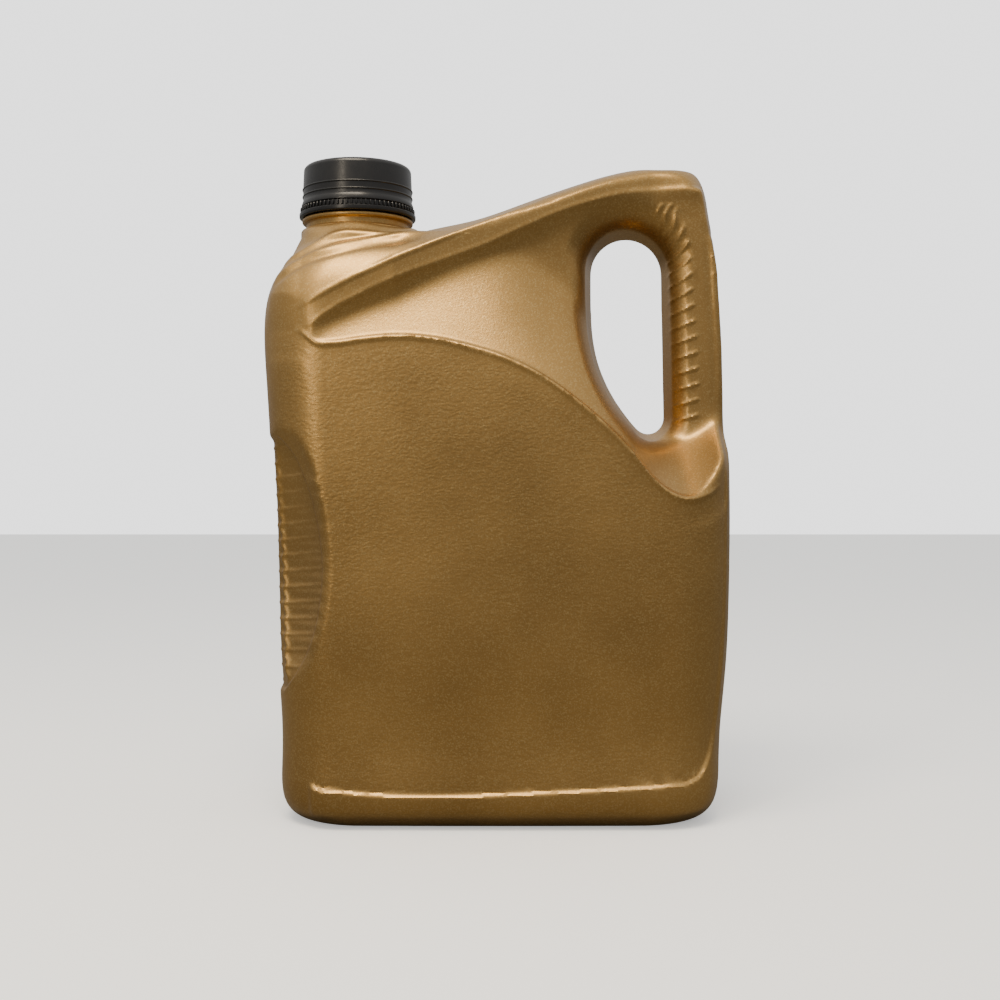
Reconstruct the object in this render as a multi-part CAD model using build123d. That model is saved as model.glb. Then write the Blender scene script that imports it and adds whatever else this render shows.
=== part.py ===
from build123d import *
from math import cos, pi, radians, sin, sqrt
import os

os.makedirs("parts", exist_ok=True)

# Millimetres. The front faces -Y, the neck stands at -X, the hand loop is at +X, and the
# mould parts on the plane Y = 0. The base rests on Z = 0.
# Heights called a drop are measured down from the top of the hand loop.

# Overall size
body_width = 205.5
body_depth = 106.0
body_top = 291.2
wall = 1.2

# Plan section of the body
corner_round = 29.0
panel_crown = 1.6

# Lower body: height above the base, then how far left side, right side and face lie inside
lower_stations = [(27, 7.6, 4.4, 1.2), (67, 6.2, 1.6, 0.3), (106, 4.6, 0.2, 0.0), (142, 3.7, 0.0, 0.0)]
# Upper body: drop, then the same three insets
upper_stations = [(100, 1.2, 1.3, 0.8), (79, 0.0, 2.1, 2.0), (67, 0.3, 2.9, 4.0), (57, 2.2, 3.6, 7.0),
                  (49, 5.9, 4.0, 10.5), (41, 11.2, 4.5, 14.5), (34, 15.2, 4.9, 18.0)]
# Sloping top: drop, distance of its crest from the right side, right inset, half depth
crest_stations = [(42, 160.0, 10.0, 31.0), (36, 152.0, 6.4, 33.6), (31, 136.0, 5.3, 33.6),
                  (24, 109.5, 6.0, 31.0), (16, 88.0, 7.1, 27.0), (9, 68.5, 8.7, 22.0), (4, 52.5, 11.2, 16.5),
                  (1, 37.0, 15.7, 9.5), (0, 32.0, 20.0, 4.0)]

# Foot: rounded edge, standing ring and push-up
foot_round = 9.0
foot_side_in = (9.3, 7.0, 2.2)
standing_ring = 7.0
push_up = 3.2
push_up_run = 8.0

# Grip side: the upper right is drawn in to the thickness of the hand loop
loop_half_depth = 19.0
loop_flat = 33.0
loop_side_round = 7.0
shoulder_run = 148.0
shoulder_in = 4.0

# Scoop between the shoulder welt and the front panel, read from the right side and the top
scoop_tip = (183.0, 79.0)
scoop_welt = (121.0, 47.5)
scoop_welt_end = (62.0, 21.5)
scoop_ledge = [(140.0, 81.5), (100.0, 90.5), (66.0, 112.0), (40.0, 140.0), (20.0, 150.5)]
ledge_slope = 0.85
ledge_face_in = 0.6
ledge_below_loop = 3.0
scoop_in = 2.5
scoop_floor_run = 176.0

# Hand hole, read from the right side and the top
hole_side = 27.5
hole_round = 16.0
hole_round_drop = 48.0
hole_foot_side = 33.2
hole_foot_drop = 114.0
hole_foot_round = 7.0
hole_foot_lean = 42.0
hole_back = (55.3, 91.0)
hole_back_facing = (0.9, 0.4)
hole_flare = 5.0
hole_overrun = 3.0

# Pinch grips on the two neck-side corners
pinch_height = 114.0
pinch_half_length = 55.0
pinch_depth = 9.0
pinch_swing = 100.0
pinch_rib_pitch = 6.8
pinch_rib_width = 2.2
pinch_rib_rise = 1.0
pinch_ribs = 11
pinch_core = 20.0

# Neck
neck_side = 38.7
neck_drop = 34.0
neck_root = 6.0
neck_radius = 20.5
neck_wall = 3.1
neck_bore_reach = 14.0
neck_top_drop = 2.4
mouth_edge = 0.8
neck_foot_rise = 5.3
neck_foot_drop = 28.2
neck_foot_edge = 0.8
groove_rise = 2.9
groove_drop = 25.4
bead_rise = 4.8
bead_height = 2.1
bead_edge = 0.5
snap_bead_rise = 1.7
snap_bead_gap = 0.6
snap_bead_height = 1.6
snap_bead_flat = 0.5

# Thread, right-handed, one start
thread_lead = 6.0
thread_turns = 1.25
thread_rise = 1.3
thread_foot = 2.4
thread_crest = 1.2
thread_root = 0.5
thread_top_gap = 3.2

# Cap, liner and tamper band
thread_gap = 0.8
cap_draft = 0.35
cap_wall = 2.3
cap_top_plate = 2.0
cap_edge_round = 2.2
cap_flare = 0.7
cap_flare_height = 2.8
cap_ring_rise = 0.18
cap_ring_height = 0.6
cap_ring_root = 1.0
cap_rings = (4.6, 8.0)
liner_thickness = 1.0
liner_side_gap = 0.4
seal_gap = 0.2
snap_gap = 0.8
band_height = 4.6
band_wall = 2.6
band_relief = 1.0
band_edge = 0.7
band_belly = 2.0
band_lip_gap = 1.0
band_lip_height = 1.4
band_lip_slope = 0.5
band_seat_gap = 0.3
band_cap_gap = 0.3
knurls = 76
knurl_rise = 0.25
knurl_width = 0.9
knurl_height = 2.4

left = -body_width / 2
right = body_width / 2
neck_x = left + neck_side
neck_z = body_top - neck_drop
bead_z = body_top - groove_drop
bead_top = bead_z + bead_height
band_z = bead_top + band_seat_gap
cap_z = band_z + band_height + band_cap_gap
mouth_z = body_top - neck_top_drop
liner_z = mouth_z + seal_gap
cap_top = liner_z + liner_thickness + cap_top_plate
snap_z = band_z + band_lip_height + snap_bead_gap
snap_bead_radius = neck_radius + snap_bead_rise
cap_bore_radius = neck_radius + thread_rise + thread_gap
cap_radius = cap_bore_radius + cap_wall
cap_foot_radius = cap_radius + cap_flare
band_bore_radius = snap_bead_radius + snap_gap
band_radius = band_bore_radius + band_relief + band_wall
far = 3 * body_width


def section(low_x, high_x, half_depth, height):
    """Closed plan section: a rounded oblong whose long faces are slightly crowned."""
    radius = min(corner_round, 0.92 * half_depth, 0.45 * (high_x - low_x))
    middle = (high_x + low_x) / 2
    flat = (high_x - low_x) / 2 - radius
    square = half_depth - radius
    edge_depth = half_depth - panel_crown * flat / body_width
    edges = []
    for turn in (0, 180):
        side = cos(radians(turn))
        corners = [(side * flat, side * square, turn), (-side * flat, side * square, turn + 90)]
        arcs = []
        for x, y, start in corners:
            arcs.append([(middle + x + radius * cos(radians(start + bend)),
                          y + radius * sin(radians(start + bend)), height) for bend in (0, 45, 90)])
        arcs[0][2] = (middle + side * flat, side * edge_depth, height)
        arcs[1][0] = (middle - side * flat, side * edge_depth, height)
        edges.append(ThreePointArc(*arcs[0]))
        edges.append(ThreePointArc(arcs[0][2], (middle, side * half_depth, height), arcs[1][0]))
        edges.append(ThreePointArc(*arcs[1]))
        edges.append(Line(arcs[1][2], (middle - side * (flat + radius), -side * square, height)))
    return make_face(edges)


def body_column(inset):
    """The body below the neck: foot edge, sides and shoulder."""
    deep = body_depth / 2
    faces = []
    for tilt in (0, 30, 60):
        tuck = (foot_round - inset) * (1 - sin(radians(tilt)))
        rise = inset + (foot_round - inset) * (1 - cos(radians(tilt)))
        side_left, side_right, side_deep = foot_side_in
        faces.append(section(left + side_left + tuck + inset, right - side_right - tuck - inset,
                             deep - side_deep - tuck - inset, rise))
    for height, in_left, in_right, in_deep in lower_stations:
        faces.append(section(left + in_left + inset, right - in_right - inset, deep - in_deep - inset, height))
    for drop, in_left, in_right, in_deep in upper_stations:
        faces.append(section(left + in_left + inset, right - in_right - inset, deep - in_deep - inset,
                             body_top - drop - inset))
    return loft(faces)


def crest(inset):
    """The sloping top that runs from the neck to the top of the hand loop."""
    faces = []
    for drop, reach, in_right, half_depth in crest_stations:
        faces.append(section(right - reach + inset, right - in_right - inset, half_depth - inset,
                             body_top - drop - inset))
    return loft(faces)


def outside_of(plan_line, side):
    """Everything on the far side of an open plan line that runs towards the hand loop."""
    start = plan_line @ 0
    end = plan_line @ 1
    close = Polyline(tuple(end), (end.X, -far, 0), (start.X, -far, 0), tuple(start))
    prism = Pos(0, 0, -far / 2) * extrude(make_face([plan_line, close]), 2 * far)
    return prism if side < 0 else mirror(prism, about=Plane.XZ)


def ledge_face(grow, rise, y):
    """Front view at depth y of all that lies above the ledge, the crisp upper edge of the front panel."""
    points = [scoop_tip] + scoop_ledge
    edge = Spline(*[(right - reach - grow / 2, y, body_top - drop + rise - grow) for reach, drop in points])
    start = edge @ 0
    end = edge @ 1
    rest = Polyline(tuple(end), (far, y, end.Z), (far, y, far), (start.X, y, far), tuple(start))
    return make_face([edge, rest])


def above_ledge(side, grow):
    """The space above the ledge, whose floor rises as it goes in from the panel."""
    face_y = side * (body_depth / 2 - ledge_face_in)
    deep_y = side * (loop_half_depth - ledge_below_loop)
    rise = abs(face_y - deep_y) * ledge_slope
    slope = loft([ledge_face(grow, 0, face_y), ledge_face(grow, rise, deep_y)], ruled=True)
    return slope + extrude(ledge_face(grow, 0, face_y), far, dir=(0, side, 0))


def under_welt(grow):
    """The space below the lower edge of the shoulder welt, right through."""
    tip = (right - scoop_tip[0] - grow / 2, 0, body_top - scoop_tip[1] + grow)
    welt_end = (right - scoop_welt_end[0], 0, body_top - scoop_welt_end[1] + grow)
    welt = ThreePointArc(tip, (right - scoop_welt[0], 0, body_top - scoop_welt[1] + grow), welt_end)
    rest = Polyline(welt_end, (far, 0, welt_end[2]), (far, 0, 0), (tip[0], 0, 0), tip)
    return extrude(make_face([welt, rest]), far, both=True)


def slope_line(run, face_in, inset):
    """Plan line of a face that slopes from face_in inside the panel, at run from the grip side, to the loop."""
    deep = body_depth / 2 - face_in
    slope = (deep - loop_half_depth) / (run - loop_flat)
    start = (right - run - loop_flat, inset - deep - slope * loop_flat)
    return Line(start, (right - loop_flat, inset - loop_half_depth))


def hand_side(side, inset):
    """What is taken off one face above the ledge: the taper to the hand loop and the scoop in it."""
    depth = inset - loop_half_depth
    radius = loop_side_round
    edge_x = right - inset
    flat = Line((right - loop_flat, depth), (edge_x - radius, depth))
    edge = ThreePointArc((edge_x - radius, depth), (edge_x - radius * (1 - sin(pi / 4)),
                         depth + radius * (1 - cos(pi / 4))), (edge_x, depth + radius))
    clear = Line((edge_x, depth + radius), (far, depth + radius))
    line = Wire([slope_line(shoulder_run, shoulder_in, inset), flat, edge, clear])
    scoop = outside_of(slope_line(scoop_floor_run, scoop_in, inset), side) & under_welt(inset)
    return (outside_of(line, side) + scoop) & above_ledge(side, inset)


def hole_outline(grow, y):
    """The hand hole in front view: round at the top, leaning to a small round at the foot."""
    side_x = right - hole_side
    top_x = side_x - hole_round
    top_z = body_top - hole_round_drop
    foot_x = right - hole_foot_side
    foot_z = body_top - hole_foot_drop
    big = hole_round + grow
    small = hole_foot_round + grow
    lean = radians(180 + hole_foot_lean)
    bottom = radians(270 + hole_foot_lean / 2)
    touch = (foot_x + small * cos(lean), y, foot_z + small * sin(lean))
    back = (right - hole_back[0] - grow * hole_back_facing[0], y,
            body_top - hole_back[1] - grow * hole_back_facing[1])
    start = (top_x - big, y, top_z)
    over = ThreePointArc(start, (top_x, y, top_z + big), (top_x + big, y, top_z))
    down = Line((top_x + big, y, top_z), (foot_x + small, y, foot_z))
    under = ThreePointArc((foot_x + small, y, foot_z), (foot_x + small * cos(bottom), y,
                          foot_z + small * sin(bottom)), touch)
    up = Spline(touch, back, start, tangents=[(sin(lean), 0, -cos(lean)), (0, 0, 1)])
    return make_face([over, down, under, up])


def hand_hole(grow):
    """The hole, narrowest on the parting plane and flaring to both sides."""
    outer = loop_half_depth + hole_overrun
    halves = [loft([hole_outline(grow, 0), hole_outline(grow + hole_flare, side * outer)]) for side in (-1, 1)]
    ends = [extrude(hole_outline(grow + hole_flare, side * outer), body_depth, dir=(0, side, 0))
            for side in (-1, 1)]
    return halves[0] + halves[1] + ends[0] + ends[1]


def pinch_grip(side, inset):
    """A barrel-shaped cut on a corner, with level ribs left standing in it."""
    corner_x = left + lower_stations[2][1] + corner_round
    corner_y = side * (body_depth / 2 - corner_round)
    away = (corner_round + pinch_swing) / sqrt(2)
    reach = pinch_swing + inset
    half = pinch_half_length + inset
    start = (reach - pinch_core, 0, -half)
    edge = ThreePointArc((reach, 0, -half), (reach + pinch_depth, 0, 0), (reach, 0, half))
    rest = Polyline((reach, 0, half), (reach - pinch_core, 0, half), start, (reach, 0, -half))
    barrel = revolve(make_face([edge, rest]), Axis.Z)
    bulge = (half ** 2 + pinch_depth ** 2) / (2 * pinch_depth)
    if inset == 0:
        for number in range(pinch_ribs):
            level = (number - (pinch_ribs - 1) / 2) * pinch_rib_pitch
            depth_here = reach + pinch_depth - bulge + sqrt(bulge ** 2 - level ** 2)
            rib = Cylinder(reach + 2 * pinch_depth, pinch_rib_width) - Cylinder(
                depth_here - pinch_rib_rise, pinch_rib_width)
            barrel -= Pos(0, 0, level) * rib
    return Pos(corner_x - away, corner_y + side * away, pinch_height) * barrel


def foot_hollow(grow):
    """The push-up inside the standing ring."""
    faces = []
    for rise, run in ((-push_up, 0), (grow, 0), (push_up + grow, push_up_run)):
        in_left, in_right, in_deep = foot_side_in
        tuck = foot_round + standing_ring + run - grow
        faces.append(section(left + in_left + tuck, right - in_right - tuck,
                             body_depth / 2 - in_deep - tuck, rise))
    return loft(faces, ruled=True)


def body_form(inset):
    """The blown body, drawn inside its true surface by inset."""
    form = body_column(inset) + crest(inset)
    for side in (-1, 1):
        form -= hand_side(side, inset)
        form -= pinch_grip(side, inset)
    return form - hand_hole(inset) - foot_hollow(inset)


def thread_ridge(radius, outward, start_z, turns):
    """One helical ridge on a round wall; outward is 1 on the neck and -1 in the cap."""
    path = Helix(thread_lead, thread_lead * turns, radius, center=(0, 0, start_z))
    start = path @ 0
    plane = Plane(origin=start, x_dir=(outward, 0, 0), z_dir=path % 0)
    ridge = plane * make_face(Polyline((-thread_root, -thread_foot / 2), (thread_rise, -thread_crest / 2),
                                       (thread_rise, thread_crest / 2), (-thread_root, thread_foot / 2),
                                       close=True))
    return sweep(ridge, path, is_frenet=True)


def turned(points, centre_x=neck_x):
    """A turned ring or cup: radius and height pairs about the neck's axis."""
    profile = make_face(Polyline(*[(radius, 0, height) for radius, height in points], close=True))
    return Pos(centre_x, 0, 0) * revolve(profile, Axis.Z)


def neck():
    """Neck with its foot ring, support bead, snap bead and thread."""
    foot_z = body_top - neck_foot_drop
    foot_radius = neck_radius + neck_foot_rise
    groove_radius = neck_radius + groove_rise
    bead_radius = neck_radius + bead_rise
    post = turned([(0, neck_z - neck_root), (foot_radius, neck_z - neck_root),
                   (foot_radius, foot_z - 3 * neck_foot_edge),
                   (foot_radius - neck_foot_edge, foot_z - neck_foot_edge), (groove_radius, foot_z),
                   (groove_radius, bead_z), (bead_radius - bead_edge, bead_z),
                   (bead_radius, bead_z + bead_edge), (bead_radius, bead_top - bead_edge),
                   (bead_radius - bead_edge, bead_top), (neck_radius, bead_top), (neck_radius, snap_z),
                   (snap_bead_radius, snap_z), (snap_bead_radius, snap_z + snap_bead_flat),
                   (neck_radius, snap_z + snap_bead_height), (neck_radius, mouth_z - mouth_edge),
                   (neck_radius - mouth_edge, mouth_z), (0, mouth_z)])
    ridge = thread_ridge(neck_radius, 1, mouth_z - thread_top_gap - thread_lead * thread_turns, thread_turns)
    return post + Pos(neck_x, 0, 0) * ridge


def bottle():
    """The blown container: body, hand loop and neck in one wall."""
    bore = turned([(0, neck_z - neck_bore_reach), (neck_radius - neck_wall, neck_z - neck_bore_reach),
                   (neck_radius - neck_wall, mouth_z + neck_wall), (0, mouth_z + neck_wall)])
    return body_form(0) + neck() - body_form(wall) - bore


def screw_cap():
    """Cap with a rounded top edge, fine rings, a flared skirt foot and an inner thread."""
    top_radius = cap_radius - cap_draft
    flare_z = cap_z + cap_flare_height
    outer = turned([(0, cap_z), (cap_foot_radius, cap_z), (cap_radius, flare_z), (top_radius, cap_top),
                    (0, cap_top)])
    top_edge = outer.edges().filter_by(GeomType.CIRCLE).sort_by(Axis.Z)[-1]
    shell = fillet(top_edge, cap_edge_round)
    for rise in cap_rings:
        level = cap_z + rise
        shell += turned([(cap_radius - cap_ring_root, level), (cap_radius + cap_ring_rise, level),
                         (cap_radius + cap_ring_rise, level + cap_ring_height),
                         (cap_radius - cap_ring_root, level + cap_ring_height)])
    inside = turned([(0, cap_z - cap_wall), (cap_bore_radius, cap_z - cap_wall),
                     (cap_bore_radius, cap_top - cap_top_plate), (0, cap_top - cap_top_plate)])
    start_z = mouth_z - thread_top_gap - thread_lead * (thread_turns - 0.5) - thread_lead
    ridge = thread_ridge(cap_bore_radius, -1, start_z, thread_turns)
    return shell - inside + Pos(neck_x, 0, 0) * ridge


def seal_liner():
    """Sealing wad under the cap's top plate."""
    radius = cap_bore_radius - liner_side_gap
    return turned([(0, liner_z), (radius, liner_z), (radius, liner_z + liner_thickness),
                   (0, liner_z + liner_thickness)])


def tamper_band():
    """Band left on the neck, with an inner lip under the snap bead and fine outer ribs."""
    foot_bore = band_bore_radius + band_relief
    lip = neck_radius + band_lip_gap
    lip_top = band_z + band_lip_height
    top = band_z + band_height
    ring = turned([(lip, band_z + band_lip_slope), (foot_bore, band_z), (band_radius - band_edge, band_z),
                   (band_radius, band_z + band_edge), (band_radius, band_z + band_belly), (cap_foot_radius, top),
                   (band_bore_radius, top), (band_bore_radius, lip_top + band_lip_slope), (lip, lip_top)])
    knurl_x = (band_radius + cap_foot_radius - knurl_width) / 2
    knurl_z = band_z + (band_belly + band_height - knurl_height) / 2
    knurl = Pos(knurl_x, 0, knurl_z) * Box(2 * knurl_rise + knurl_width, knurl_width, knurl_height,
                                           align=(Align.CENTER, Align.CENTER, Align.MIN))
    ribs = [Pos(neck_x, 0, 0) * Rot(0, 0, 360 * number / knurls) * knurl for number in range(knurls)]
    return ring + ribs


for name, make in (("bottle", bottle), ("screw_cap", screw_cap), ("tamper_band", tamper_band),
                   ("seal_liner", seal_liner)):
    export_step(make(), f"parts/{name}.step")
    print(name)
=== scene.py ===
from math import cos, pi, radians, sin

import bpy
import numpy as np
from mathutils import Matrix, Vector


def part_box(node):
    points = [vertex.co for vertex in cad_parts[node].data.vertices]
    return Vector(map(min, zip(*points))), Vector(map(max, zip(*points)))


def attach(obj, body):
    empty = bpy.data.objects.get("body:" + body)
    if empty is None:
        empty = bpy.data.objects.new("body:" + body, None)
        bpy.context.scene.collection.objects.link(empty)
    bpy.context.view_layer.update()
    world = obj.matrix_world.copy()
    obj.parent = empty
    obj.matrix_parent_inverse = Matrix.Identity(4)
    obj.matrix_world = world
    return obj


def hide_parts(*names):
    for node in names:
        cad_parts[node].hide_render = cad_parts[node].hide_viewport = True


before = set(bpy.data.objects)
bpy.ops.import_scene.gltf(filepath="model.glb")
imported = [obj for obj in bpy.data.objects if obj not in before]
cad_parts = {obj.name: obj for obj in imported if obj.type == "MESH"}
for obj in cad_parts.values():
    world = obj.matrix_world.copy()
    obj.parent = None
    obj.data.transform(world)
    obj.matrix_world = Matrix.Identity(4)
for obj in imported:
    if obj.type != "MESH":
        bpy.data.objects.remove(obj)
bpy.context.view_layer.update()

mm = 0.001
bandLow, bandHigh = [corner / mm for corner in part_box("tamper_band")]
capLow, capHigh = [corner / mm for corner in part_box("screw_cap")]
linerLow, linerHigh = [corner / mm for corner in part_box("seal_liner")]
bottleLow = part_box("bottle")[0] / mm
neckX = (bandLow.x + bandHigh.x) / 2
neckRadius = 20.5
linerGap = 0.2  # the liner lies this far over the mouth
mouthZ = linerLow.z - linerGap
weldGap = 0.001  # points nearer than this are one


# Working habits, used by every piece. Lengths are in millimetres until they reach an operator.

def selectOnly(piece):
    bpy.ops.object.select_all(action="DESELECT")
    piece.select_set(True)
    bpy.context.view_layer.objects.active = piece


def applyModifier(piece, kind, **settings):
    selectOnly(piece)
    modifier = piece.modifiers.new(kind.title(), kind)
    for setting, value in settings.items():
        setattr(modifier, setting, value)
    bpy.ops.object.modifier_apply(modifier=modifier.name)


def shadeSmooth(piece, angle):
    selectOnly(piece)
    bpy.ops.object.shade_smooth_by_angle(angle=radians(angle))


def readPoints(piece):
    points = np.empty(len(piece.data.vertices) * 3)
    piece.data.vertices.foreach_get("co", points)
    return points.reshape(-1, 3) / mm


def readNormals(piece):
    normals = np.empty(len(piece.data.vertices) * 3)
    piece.data.vertices.foreach_get("normal", normals)
    return normals.reshape(-1, 3)


def writePoints(piece, points):
    piece.data.vertices.foreach_set("co", (points * mm).ravel())
    piece.data.update()


def curveThrough(points):  # a smooth single-valued line through given points
    xs, ys = np.array(points, float).T
    slopes = np.gradient(ys, xs)

    def height(x):
        x = np.clip(x, xs[0], xs[-1])
        i = np.clip(np.searchsorted(xs, x) - 1, 0, len(xs) - 2)
        run = xs[i + 1] - xs[i]
        t = (x - xs[i]) / run
        return ((2 * t**3 - 3 * t**2 + 1) * ys[i] + (t**3 - 2 * t**2 + t) * run * slopes[i]
                + (3 * t**2 - 2 * t**3) * ys[i + 1] + (t**3 - t**2) * run * slopes[i + 1])
    return height


def ramp(low, high, value):
    t = np.clip((value - low) / (high - low), 0, 1)
    return t * t * (3 - 2 * t)


def ridge(distance, width):  # a rounded bump one high, over a band that wide
    spread = 0.42 * width
    return np.exp(-(distance / spread)**2)


def softMax(a, b, blend):  # the larger of two, rounded over where they cross
    return 0.5 * (a + b + np.sqrt((a - b)**2 + blend**2))


def turned(name, profile, segments=96, closed=False):  # a lathe: rings extruded and resized in turn
    bpy.ops.object.select_all(action="DESELECT")
    radius, height = profile[0]
    bpy.ops.mesh.primitive_circle_add(vertices=segments, radius=radius * mm, fill_type="NOTHING",
                                      location=(neckX * mm, 0, height * mm))
    piece = bpy.context.object
    piece.name = piece.data.name = name
    bpy.ops.object.transform_apply(location=True, rotation=True, scale=True)
    bpy.ops.object.mode_set(mode="EDIT")
    bpy.ops.mesh.select_mode(type="EDGE")
    bpy.ops.mesh.select_all(action="SELECT")
    for newRadius, newHeight in profile[1:]:
        bpy.ops.mesh.extrude_edges_move(TRANSFORM_OT_translate={"value": (0, 0, (newHeight - height) * mm)})
        scale = newRadius / radius
        bpy.ops.transform.resize(value=(scale, scale, 1), center_override=(neckX * mm, 0, newHeight * mm))
        radius, height = newRadius, newHeight
    if not closed:
        bpy.ops.mesh.edge_face_add()
        bpy.ops.mesh.select_all(action="DESELECT")
        bpy.ops.mesh.select_non_manifold(extend=False)
        bpy.ops.mesh.edge_face_add()
    bpy.ops.mesh.select_all(action="SELECT")
    bpy.ops.mesh.remove_doubles(threshold=weldGap * mm)
    bpy.ops.mesh.normals_make_consistent(inside=False)
    bpy.ops.mesh.select_mode(type="VERT")
    bpy.ops.object.mode_set(mode="OBJECT")
    return piece


def arc(x, z, radius, start, end, steps=6):  # radius and height pairs round a centre, in degrees
    turns = [radians(a) for a in np.linspace(start, end, steps)]
    return [(x + radius * cos(a), z + radius * sin(a)) for a in turns]


threadFoot, threadCrest, threadFadeIn = 2.4, 1.2, (-0.02, 0.05)  # ridge widths, and its ends in turns


def addThread(piece, radius, start, lead, turns, rise):
    # Lifts the wall into one right-handed helical ridge; a negative rise lifts it out of a bore's wall
    points = readPoints(piece)
    x, y, z = points[:, 0] - neckX, points[:, 1], points[:, 2]
    reach = np.hypot(x, y)
    turn = np.mod(np.arctan2(y, x), 2 * pi) / (2 * pi)
    lift = np.zeros(len(points))
    for wrap in range(-1, int(turns) + 2):
        along = turn + wrap
        away = np.abs(z - start - lead * along)
        flank = np.clip((threadFoot / 2 - away) / ((threadFoot - threadCrest) / 2), 0, 1)
        ends = ramp(*threadFadeIn, along) * ramp(*[turns - fade for fade in threadFadeIn], along)
        lift = np.maximum(lift, flank * ends)
    onWall = np.abs(reach - radius) < 0.05
    grown = np.where(onWall, reach + rise * lift, reach)
    points[:, 0] = neckX + x * grown / reach
    points[:, 1] = y * grown / reach
    writePoints(piece, points)


def cut(piece, tool, operation):  # joins a solid to a piece, or takes it away
    applyModifier(piece, "BOOLEAN", object=tool, operation=operation, solver="MANIFOLD")
    bpy.data.objects.remove(tool)


# Bottle, stage 1: the blown shell. Its faces are a depth either side of the mould's parting plane,
# set over the front view by the shoulder welt, the scoop below it and the ledge of the front panel.
bottle = {
    "coarseVoxel": 1.4, "fineVoxel": 0.85, "triangles": 150000, "neckFoot": 25.8, "neckCut": 257.0,
    "ledge": [(-84, 212.5), (-80, 209.5), (-76.5, 207), (-70, 206.7), (-57, 208.4), (-42, 209.6),
              (-27, 208.5), (-11, 205), (3, 200.6), (18, 193.3), (32, 183.6), (45, 172.6), (57, 160.4),
              (66, 149.2), (73, 143.6), (82, 140.8), (90, 143.0), (97, 147.5), (104, 153)],
    "welt": [(-84, 212.5), (-80, 214.5), (-71, 220.5), (-57, 228), (-39, 236.4), (-23, 243), (-5, 250.5),
             (10, 258), (30, 267.6), (48, 274), (104, 280)],
    "crease": [(-100, 213), (-79, 225), (-63, 233.8), (-51, 239.6), (-33.5, 247.8), (-17.5, 255),
               (0.5, 262.7), (21, 272.2), (40, 280.2), (57, 285.6), (70, 288), (104, 288)],
    "faceDepth": [(0, 50), (27, 51.8), (67, 52.7), (106, 53), (142, 53), (191.2, 52.2), (212.2, 51),
                  (224.2, 49), (234.2, 46), (242.2, 42.5), (250.2, 38.5), (257.2, 35), (267.2, 31),
                  (275.2, 27), (282.2, 22), (287.2, 16.5), (290.2, 9.5), (291.4, 3)],
    "domeFrom": 5,  # the point of faceDepth from which the depth only falls
    "crown": 0.6, "crownRun": 74.0, "cornerRound": 29.0, "loopEdgeRound": 7.0,
    "loopDepth": 19.0, "loopFlat": 69.75,
    "taperStart": (-45.25, 49.0), "scoopStart": (-84.0, 48.0), "scoopFade": (-86, -70),
    "weltSlope": 0.6, "floorBlend": 3.0, "troughBlend": 4.0, "troughSettle": 0.2,
    "bandDepth": [(-104, 53), (-84, 51.0), (-70, 50.2), (-45, 48.6), (-20, 48)],
    "floorSlope": [(-90, 0.5), (20, 0.5), (40, 0.65), (60, 1.15), (104, 1.2)],
    "holeTop": (59.25, 243.2, 16.0), "holeFoot": (69.5, 177.2, 7.0),
    "holeBack": [(43.2, 243.2), (43.3, 230), (45, 211), (48.6, 197), (54.0, 186.0), (64.3, 172.5)],
    "holeRound": 11.5, "holeTopRound": 16.0, "holeTopFade": (-6, 10), "holeFade": (3.0, 7.0), "holeLip": 0.2,
    "sideFade": (2.0, 5.0), "topFade": (3, 12), "ledgeFade": (-14, -6), "depthFade": (5, 10),
    "stripStep": 2.0, "stripHalf": 1.6, "smoothRounds": 3,
}


def holeOutline():  # the hand hole's narrowest line in front view
    x, z, r = bottle["holeTop"]
    over = [(x - r * cos(a), z + r * sin(a)) for a in np.linspace(0, pi, 40)]
    fx, fz, fr = bottle["holeFoot"]
    side = [(x + r + (fx + fr - x - r) * t, z + (fz - z) * t) for t in np.linspace(0, 1, 50)]
    under = [(fx + fr * cos(a), fz + fr * sin(a)) for a in np.linspace(0, radians(-138), 24)]
    back = curveThrough([(height, across) for across, height in reversed(bottle["holeBack"])])
    heights = np.linspace(bottle["holeBack"][-1][1], z, 60)
    return np.array(over + side + under + list(zip(back(heights), heights)))


def awayFromHole(x, z, reach):  # distance outside the hand hole, up to reach; negative inside it
    outline = holeOutline()
    low, high = outline.min(0) - reach, outline.max(0) + reach
    near = np.flatnonzero((x > low[0]) & (x < high[0]) & (z > low[1]) & (z < high[1]))
    spots = np.column_stack([x[near], z[near]])
    best = np.full(len(near), 1e9)
    inside = np.zeros(len(near), bool)
    for a, b in zip(outline, np.roll(outline, -1, axis=0)):
        run = b - a
        t = np.clip(((spots - a) @ run) / (run @ run + 1e-12), 0, 1)
        best = np.minimum(best, np.hypot(*(spots - a - t[:, None] * run).T))
        if a[1] != b[1]:
            crosses = (a[1] > spots[:, 1]) != (b[1] > spots[:, 1])
            inside ^= crosses & (spots[:, 0] < a[0] + (spots[:, 1] - a[1]) / run[1] * run[0])
    distance = np.full(len(x), float(reach))
    distance[near] = np.minimum(np.where(inside, -best, best), reach)
    return distance


def panelDepth(x, z):
    outward = np.minimum(np.abs(x) / bottle["crownRun"], 1)
    return curveThrough(bottle["faceDepth"])(z) - bottle["crown"] * outward**2


def loopLine(start, x):  # plan line from the shoulder in to the flat of the hand loop
    slope = (start[1] - bottle["loopDepth"]) / (bottle["loopFlat"] - start[0])
    return np.maximum(bottle["loopDepth"] + slope * (bottle["loopFlat"] - x), bottle["loopDepth"])


def cornerDrop(away, radius):  # how far a rounded corner falls back, at a distance in from the side
    inner = np.clip(1 - away / radius, 0, 1)
    return radius * (1 - np.sqrt(1 - inner**2))


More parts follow.
